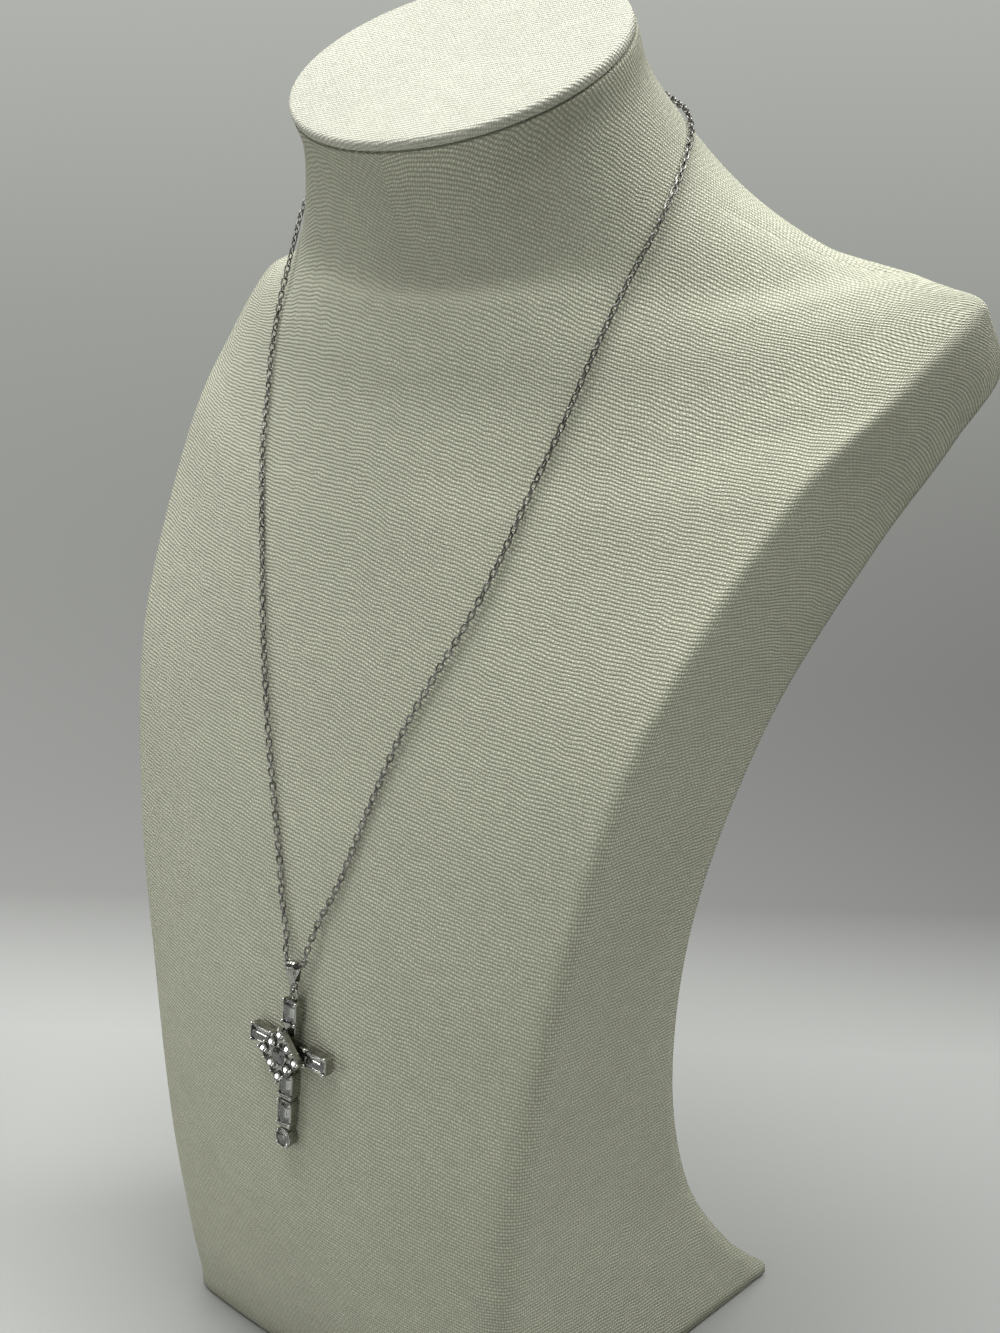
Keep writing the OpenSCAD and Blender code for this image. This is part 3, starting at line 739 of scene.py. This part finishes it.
def oblong(w, l, cut, z):
    """Eight points of a rectangle with cut corners."""
    x, y = w / 2, l / 2
    return [(-x + cut, -y, z), (x - cut, -y, z), (x, -y + cut, z), (x, y - cut, z),
            (x - cut, y, z), (-x + cut, y, z), (-x, y - cut, z), (-x, -y + cut, z)]


def disc(d, z, sides=40, turn=0.0):
    return [(d / 2 * math.cos(2 * math.pi * k / sides + turn),
             d / 2 * math.sin(2 * math.pi * k / sides + turn), z) for k in range(sides)]


def lathe(profile, sides=20):
    """A solid turned about Z from (radius, z) pairs, bottom first."""
    return loft([disc(2 * r, z, sides) for r, z in profile])


def torus(mean_d, wire, steps=48, sides=16, gap=0.0):
    """A ring in the XY plane, or with a gap an open one with flat ends."""
    full = 2 * math.pi - gap
    rings = []
    for k in range(steps + (gap > 0)):
        t = gap / 2 + full * k / steps
        rings.append([((mean_d / 2 + wire / 2 * math.cos(q)) * math.cos(t),
                       (mean_d / 2 + wire / 2 * math.cos(q)) * math.sin(t), wire / 2 * math.sin(q))
                      for q in (2 * math.pi * j / sides for j in range(sides))])
    if gap > 0:
        return loft(rings)
    points = np.array(rings).reshape(-1, 3)
    faces = grid_faces(steps, sides)
    last = (steps - 1) * sides
    faces += [(last + j, last + (j + 1) % sides, (j + 1) % sides, j) for j in range(sides)]
    return points, faces


def collar(r, thick, bottom, top, sides=40):
    """A round wall with an open middle and a rounded rim."""
    soft = thick / 3
    profile = [(r, bottom), (r + thick, bottom), (r + thick, top - soft), (r + thick - soft, top),
               (r + soft, top), (r, top - soft)]
    rings = np.array([disc(2 * radius, z, sides) for radius, z in profile])
    faces = grid_faces(len(profile), sides)
    last = (len(profile) - 1) * sides
    faces += [(last + k, last + (k + 1) % sides, (k + 1) % sides, k) for k in range(sides)]
    return rings.reshape(-1, 3), faces


def bead(x, y, top, post, d=BEAD_D):
    """A post with a round bead that closes over the edge of a stone."""
    r = d / 2
    high = top + BEAD_RISE - r
    ball = [(r * math.cos(t), high + r * math.sin(t))
            for t in (math.radians(a) for a in range(-50, 91, 14))]
    ball[-1] = (0.02, high + r)
    return moved(lathe([(BEAD_POST_R, top - post)] + ball), (x, y, 0))


def cup(outer, inner, seat, bottom, top):
    """A setting: outer wall, rim, inner wall and seat, from two outlines that depend on z."""
    rounding = 0.12
    rings = [outer(bottom, rounding), outer(bottom + rounding, 0), outer(top - rounding, 0),
             outer(top, rounding), inner(top, rounding / 2), inner(top - rounding, 0), inner(seat, 0)]
    return loft(rings)


def box_setting(l):
    def outer(z, inset):
        return oblong(ARM_W - 2 * inset, l - 2 * inset, 0.4, z)

    def inner(z, out):
        return oblong(ARM_W - 2 * WALL + 2 * out, l - 2 * WALL + 2 * out, 0.35, z)

    return cup(outer, inner, ARM_T - SEAT_DEEP, 0, ARM_T)


def round_setting():
    def outer(z, inset):
        return disc(END_D - 2 * inset, z)

    def inner(z, out):
        return disc(END_D - 2 * WALL + 2 * out, z)

    return cup(outer, inner, ARM_T - SEAT_DEEP, 0, ARM_T)


def slab(x0, x1, y0, y1, z0, z1, soft=0.12):
    """A block with its long edges along Z and its rims taken off."""
    w, l = x1 - x0, y1 - y0
    rings = [oblong(w - 2 * d, l - 2 * d, soft, z)
             for d, z in ((soft, z0), (0, z0 + soft), (0, z1 - soft), (soft, z1))]
    return moved(loft(rings), ((x0 + x1) / 2, (y0 + y1) / 2, 0))


def arms():
    core = CORE_W / 2
    parts = [moved(box_setting(l), (x, y, 0), turn) for x, y, turn, l in ARM_PLACES]
    parts.append(moved(round_setting(), (0, end_at, 0)))
    # Bars between the settings, which stop at the walls so that the seats stay open
    upright = ARM_START + CORE_GRIP
    parts.append(slab(-core, core, -upright, upright, CORE_LOW, CORE_HIGH))
    level = SIDE_START + CORE_GRIP
    parts.append(slab(-level, level, -core, core, CORE_LOW, CORE_HIGH))
    bar = JOINT_L / 2 + CORE_GRIP
    ridge = core + RIDGE_SIDE
    for y in (-arm_end - JOINT_L / 2, -arm_end - lower_pitch - JOINT_L / 2):
        parts.append(slab(-core, core, y - bar, y + bar, CORE_LOW, CORE_HIGH))
        parts.append(slab(-ridge, ridge, y - RIDGE_T / 2, y + RIDGE_T / 2, CORE_LOW,
                          CORE_HIGH + RIDGE_TOP))
    parts.append(lathe([(PLATE_POST_R, 0), (PLATE_POST_R, ARM_T + PLATE_LIFT + 0.1)], 32))
    parts.append(moved(torus(LOOP_D, LOOP_WIRE), (0, loop_y, hang_z)))
    bridge = LOOP_WIRE * 0.8
    parts.append(slab(-bridge, bridge, arm_end - 0.4, arm_end + 0.3,
                      hang_z - bridge / 2, hang_z + bridge / 2))
    return joined(parts)


def arm_beads():
    parts = []
    for x, y, turn, l in ARM_PLACES:
        beads = [bead(sx * (ARM_W / 2 - ARM_BEAD_IN), sy * (l / 2 - ARM_BEAD_DOWN), ARM_T, ARM_T / 2,
                      ARM_BEAD_D) for sx in (-1, 1) for sy in (-1, 1)]
        parts.append(moved(joined(beads), (x, y, 0), turn))
    reach = END_D / 2 - END_BEAD_IN
    for a in range(45, 360, 90):
        parts.append(bead(reach * math.cos(math.radians(a)),
                          end_at + reach * math.sin(math.radians(a)), ARM_T, ARM_T / 2, ARM_BEAD_D))
    return joined(parts)


def plate():
    """A square tray: a block with a thin rim round its lower ground."""
    def outer(z, inset):
        return oblong(PLATE_W - 2 * inset, PLATE_W - 2 * inset, 0.5, z)

    def inner(z, out):
        width = PLATE_W - 2 * PLATE_RIM + 2 * out
        return oblong(width, width, 0.3, z)

    return cup(outer, inner, plate_top - PLATE_FLOOR, plate_top - PLATE_T, plate_top - 0.1)


def cut_by(piece, parts):
    """Takes closed parts out of a piece, for good."""
    points, faces = joined(parts)
    mesh = bpy.data.meshes.new("cutter")
    mesh.from_pydata((placed(points, CROSS) * MM).tolist(), [], faces)
    face_outwards(mesh)
    cutter = bpy.data.objects.new("cutter", mesh)
    bpy.context.scene.collection.objects.link(cutter)
    change = piece.modifiers.new("cut", "BOOLEAN")
    change.operation = "DIFFERENCE"
    change.object = cutter
    apply_modifiers(piece)
    bpy.data.objects.remove(cutter)


def apply_modifiers(piece):
    """Gives the piece the mesh that its modifiers make."""
    graph = bpy.context.evaluated_depsgraph_get()
    made = bpy.data.meshes.new_from_object(piece.evaluated_get(graph))
    old = piece.data
    piece.modifiers.clear()
    piece.data = made
    made.name = piece.name
    bpy.data.meshes.remove(old)


def on_plate(part):
    """A part drawn square to the plate, put in its place on the cross."""
    return moved(part, (0, -PLATE_DROP, 0), 45)


def add_cast(name, part, metal=CAST_METAL, replaces=(), crisp=32):
    points, faces = part
    return add_mesh(name, placed(points, CROSS), faces, metal, replaces, crisp)


def make_cross():
    add_cast("cross_arms", arms(), replaces=["cross_setting"])
    add_cast("cross_arm_beads", arm_beads(), GRAIN_METAL_PAINTED_HIGHLIGHT)
    # The tray's ground is drilled for the stones, each seat with a thin collet
    piece = add_cast("cross_plate", on_plate(plate()))
    low = plate_top - PLATE_SEAT_DEEP
    seats, collets = [], []
    stones = [(0, 0, CENTER_D)] + [(x, y, SMALL_D) for x, y in PLATE_PLACES]
    for x, y, d in stones:
        at = (x * PLATE_PITCH, y * PLATE_PITCH, 0)
        r = d / 2 + STONE_GAP
        seats.append(moved(lathe([(r, low), (r, plate_top + 1)], 32), at))
        thick = CENTER_COLLET if d == CENTER_D else SMALL_COLLET
        collets.append(moved(collar(r, thick, plate_top - PLATE_FLOOR - 0.2, plate_top - 0.02), at))
    cut_by(piece, [on_plate(joined(seats))])
    piece.data.set_sharp_from_angle(angle=math.radians(32))
    add_cast("plate_collets", on_plate(joined(collets)), crisp=40)
    # Beads stand between the stones, the ones inside the rim a little lower
    edge = PLATE_W / 2 - 0.3
    inner = PLATE_PITCH / 2
    lines = (-edge, -inner, inner, edge)
    grains = [bead(x, y, plate_top - (0 if edge in (abs(x), abs(y)) else 0.35), 0.8)
              for x in lines for y in lines]
    add_cast("plate_beads", on_plate(joined(grains)), GRAIN_METAL_PAINTED_HIGHLIGHT)


# Stones
SMALL_TIP, TIP_STEP = 15, 2.5       # the small stones look up a little, in degrees, each its own way
SMALL_SHARE = 0.97      # their size in the seats, where a tipped stone needs more room


def brilliant(d, deep):
    """Round stone with a table, star, kite and girdle facets, its girdle at z = 0."""
    def ring(share, z, shift):
        return disc(share * d, z, 8, math.pi / 8 * shift)

    # Table, star, girdle's top and foot, mains and culet
    points = ring(0.56, 0.14 * d, 0) + ring(0.79, 0.085 * d, 1)
    points += disc(d, 0, 16) + disc(d, -0.03 * d, 16)
    points += ring(0.45, -0.62 * deep, 1) + [(0, 0, -deep)]
    # Where each ring of points starts
    table, star, girdle, lower, mains, culet = 0, 8, 16, 32, 48, 56
    faces = [tuple(range(8))]
    for k in range(8):
        after = (k + 1) % 8
        before = (k - 1) % 8
        faces.append((table + k, star + k, table + after))
        faces.append((table + k, star + before, girdle + 2 * k, star + k))
        faces.append((star + k, girdle + 2 * k, girdle + 2 * k + 1))
        faces.append((star + k, girdle + 2 * k + 1, girdle + 2 * after))
        faces.append((lower + 2 * k, mains + k, lower + 2 * k + 1))
        faces.append((lower + 2 * k + 1, mains + k, lower + 2 * after))
        faces.append((mains + before, culet, mains + k, lower + 2 * k))
    for k in range(16):
        after = (k + 1) % 16
        faces.append((girdle + k, lower + k, lower + after, girdle + after))
    return points, faces


def baguette(setting_l):
    """Step cut with cut corners, its girdle at z = 0; steps are share of the width, corner and z."""
    w = ARM_W - 2 * WALL - 2 * STONE_GAP
    l = setting_l - 2 * WALL - 2 * STONE_GAP
    deep = SEAT_DEEP - GIRDLE_DROP - STONE_GAP
    steps = [(0.12, 0.05, -deep), (0.45, 0.2, -0.75 * deep), (0.75, 0.4, -0.42 * deep), (1, 0.6, -0.12),
             (1, 0.6, 0), (0.88, 0.55, 0.22), (0.74, 0.48, 0.42), (0.58, 0.4, 0.55)]
    return loft([oblong(w * k, l - w * (1 - k), cut, z) for k, cut, z in steps])


def make_stone(node, part, at, turn=0.0):
    points, faces = moved(part, at, turn)
    add_mesh("gem_" + node, placed(points, CROSS), faces, STONE, [node], crisp=0)


def make_stones():
    for node, (x, y, turn, l) in zip(ARM_STONES, ARM_PLACES):
        make_stone(node, baguette(l), (x, y, ARM_T - GIRDLE_DROP), turn)
    end_d = END_D - 2 * WALL - 2 * STONE_GAP
    make_stone("stone_end", brilliant(end_d, SEAT_DEEP - GIRDLE_DROP - STONE_GAP),
               (0, end_at, ARM_T - GIRDLE_DROP))
    deep = PLATE_SEAT_DEEP - GIRDLE_DROP - STONE_GAP
    girdle_z = plate_top - GIRDLE_DROP
    make_stone("stone_center", brilliant(CENTER_D, deep), (0, -PLATE_DROP, girdle_z))
    pitch = PLATE_PITCH * math.sqrt(0.5)
    for k, (x, y) in enumerate(PLATE_PLACES):
        points, faces = brilliant(SMALL_D * SMALL_SHARE, deep)
        tip = Matrix.Rotation(math.radians(-SMALL_TIP + TIP_STEP * (k % 3 - 1)), 4, "X")
        make_stone(f"stone_small_{k + 1}", (placed(points, tip), faces),
                   ((x - y) * pitch, (x + y) * pitch - PLATE_DROP, girdle_z))


# Bail: a fluted strip folded to a drop, with an eye for the jump ring
BAIL_L, BAIL_W, BAIL_FOOT_W, BAIL_BORE, BAIL_WALL = 7.4, 2.8, 2.2, 2.7, 0.6
BAIL_LEAN, BAIL_TURN = 5, 14
FOOT_Y, FOOT_R = -0.45, 0.75
LEG_END = 0.34      # the strip's ends, over the eye
FLUTE, CROWN = 0.15, 0.16       # depth of the strip's grooves and of its rounding
EYE_D, EYE_WIRE = 1.4, 0.46


def bail_strip():
    """The folded strip: rings of its cross-section along a drop in the YZ plane."""
    big = BAIL_BORE / 2 + BAIL_WALL
    bore_y = BAIL_L - big + FOOT_Y - FOOT_R
    high = bore_y - FOOT_Y
    lean = math.asin((big - FOOT_R) / high)
    top = [(bore_y + big * math.sin(t), big * math.cos(t))
           for t in np.linspace(-lean, math.pi + lean, 33)]
    rise = math.tan(lean)
    leg_z = FOOT_R / math.cos(lean) + (LEG_END - FOOT_Y) * rise
    front_end, back_end = (LEG_END, leg_z), (LEG_END, -leg_z)
    share = np.arange(12)[:, None] / 12
    front_leg = mix(np.array([front_end]), np.array([top[0]]), share)
    back_leg = mix(np.array([back_end]), np.array([top[-1]]), share)[::-1]
    path = np.concatenate([front_leg, top, back_leg])
    ahead = np.gradient(path, axis=0)
    ahead /= np.linalg.norm(ahead, axis=1)[:, None]
    outward = np.column_stack([ahead[:, 1], -ahead[:, 0]])
    outward *= np.sign(((path - (bore_y, 0)) * outward).sum(1).mean())
    span = np.linspace(-1, 1, 25)
    flute = FLUTE * (0.5 + 0.5 * np.cos(3 * math.pi * span)) + CROWN * (1 - span ** 4) - FLUTE - CROWN
    rings = []
    for (y, z), (oy, oz) in zip(path, outward):
        wide = np.interp(y, [FOOT_Y - FOOT_R, bore_y], [BAIL_FOOT_W, BAIL_W]) / 2
        wall = min(BAIL_WALL, abs(z) * 0.85) if y < bore_y else BAIL_WALL
        outer = [(wide * k, y + oy * f, z + oz * f) for k, f in zip(span, flute)]
        inner = [(wide * k, y - oy * wall, z - oz * wall) for k in (0.92, 0.3, -0.3, -0.92)]
        rings.append(outer + inner)
    return loft(rings)


def make_bail():
    place = CROSS @ Matrix.Translation((0, eye_y, hang_z)) @ Matrix.Rotation(
        math.radians(BAIL_TURN), 4, "Z") @ Matrix.Rotation(math.radians(-BAIL_LEAN), 4, "X")
    points, faces = joined([bail_strip(), torus(EYE_D, EYE_WIRE)])
    add_mesh("fluted_bail", placed(points, place), faces, CAST_METAL,
             ["bail"], crisp=50)


def make_ring():
    stand = CROSS @ Matrix.Translation((0, ring_y, hang_z)) @ Matrix.Rotation(math.radians(90), 4, "Y")
    points, faces = torus(RING_D, RING_WIRE, gap=0.06)
    add_mesh("split_ring", placed(points, stand), faces, CHAIN_METAL, ["jump_ring"])


def finish_nodes():
    # The sheet under the foot is painted near-black, as shade along the base edge
    for node, material in (("base_sheet", FELT_PAINTED_SHADE), ("clasp", CAST_METAL)):
        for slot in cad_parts[node].material_slots:
            slot.material = material


# Floor, light and backdrop
FADE_AZIMUTH = 34       # the floor ends along a line across this direction
FADE_NEAR, FADE_FAR = 0.15, 0.28    # metres behind the part where it starts to fade and is gone
FLOOR_NEAR, FLOOR_FAR = 0.5, 0.9    # the same all round
FLOOR_HALF = 1.0
WALL_SHADE = -0.85      # how much darker the low wall grows towards the right, a painted shadow of the bust


def make_floor():
    """A pale floor that fades into the backdrop behind the bust, with painted shade that makes it darker on
    the right.
    """
    s = new_material("floor_matte")
    x, y, _ = s.parts(s.new("TexCoord").outputs["Object"])
    aside = s.sideways(x, y, FADE_AZIMUTH)
    away = s.sideways(x, y, FADE_AZIMUTH + 90)
    reach = s.calc("SQRT", s.calc("ADD", s.calc("MULTIPLY", x, x), s.calc("MULTIPLY", y, y)))
    keep = s.calc("MULTIPLY", s.remap(away, FADE_NEAR, FADE_FAR, 1.0, 0.0),
                  s.remap(reach, FLOOR_NEAR, FLOOR_FAR, 1.0, 0.0))
    # Painted shade: the floor grows darker towards the right and lighter towards the left
    tone = s.scaled((0.41, 0.42, 0.405), s.remap(aside, -0.25, 0.35, 1.12, 0.74))
    s.surface(Base_Color=tone, Roughness=0.8, Alpha=keep)
    mesh = bpy.data.meshes.new("floor")
    corners = [(-1, -1), (1, -1), (1, 1), (-1, 1)]
    mesh.from_pydata([(x * FLOOR_HALF, y * FLOOR_HALF, 0) for x, y in corners], [], [(0, 1, 2, 3)])
    mesh.materials.append(s.owner)
    floor = bpy.data.objects.new("floor", mesh)
    bpy.context.scene.collection.objects.link(floor)


# Name, place and size in metres, power in watts; each light looks at the bust
LIGHTS = [
    ("overhead", (-0.15, -0.05, 1.6), 1.1, 26),
    ("right_fill", (0.8, 0.5, 1.4), 0.8, 13.5),
    ("left_card", (-0.8, -0.95, 0.14), 0.32, 2.2),
    ("floor_bounce", (0.1, -0.5, 0.22), 0.4, 0.28),
]
LIT_POINT = Vector((0, 0, 0.2))


def make_lights():
    for name, at, size, power in LIGHTS:
        data = bpy.data.lights.new(name, "AREA")
        data.shape = "DISK"
        data.size = size
        data.energy = power
        light = bpy.data.objects.new(name, data)
        light.location = at
        light.rotation_mode = "QUATERNION"
        light.rotation_quaternion = (LIT_POINT - Vector(at)).to_track_quat("-Z", "Y")
        light.visible_camera = False
        bpy.context.scene.collection.objects.link(light)


def height_ramp(s, z, stops):
    """Colours by the height of a direction, from stops of height and colour."""
    made = s.new("ValToRGB", Fac=s.remap(z, -1, 1))
    made.color_ramp.interpolation = "B_SPLINE"
    while len(made.color_ramp.elements) < len(stops):
        made.color_ramp.elements.new(0.5)
    for element, (at, color) in zip(made.color_ramp.elements, stops):
        element.position = at / 2 + 0.5
        element.color = (*color, 1)
    return made.outputs[0]


def make_world():
    """A grey backdrop for the camera with the bust's shadow painted low on its right, and soft light that
    comes mostly from above.
    """
    world = bpy.data.worlds.new("studio")
    bpy.context.scene.world = world
    s = Nodes(world)
    x, y, z = s.parts(s.new("TexCoord").outputs["Generated"])
    seen = height_ramp(s, z, [
        (-0.55, (0.47, 0.48, 0.46)), (-0.42, (0.34, 0.345, 0.33)), (-0.30, (0.25, 0.253, 0.243)),
        (-0.12, (0.30, 0.308, 0.288)), (0.10, (0.50, 0.515, 0.48))])
    lit = height_ramp(s, z, [
        (-1.0, (0.07, 0.07, 0.066)), (0.0, (0.07, 0.07, 0.066)), (0.5, (0.14, 0.14, 0.135)),
        (1.0, (0.3, 0.3, 0.29))])
    # Painted shadow of the bust: low down the wall grows darker towards the right
    aside = s.sideways(x, y, CAMERA_AZIMUTH)
    low = s.calc("MULTIPLY_ADD", z, -5.0, -0.5, clamp=True)
    shade = s.calc("MULTIPLY_ADD", s.calc("MULTIPLY", aside, low), WALL_SHADE, 1.0)
    to_camera = s.new("LightPath").outputs["Is Camera Ray"]
    background = s.new("Background", Color=s.blend(to_camera, lit, s.scaled(seen, shade)))
    out = s.new("OutputWorld")
    s.tree.links.new(background.outputs[0], out.inputs[0])


add_camera()
bust_tree = make_bust()
make_cap()
make_chain(bust_tree)
make_cross()
make_stones()
make_bail()
make_ring()
finish_nodes()
make_floor()
make_world()
make_lights()
bpy.context.scene.view_settings.view_transform = "Standard"
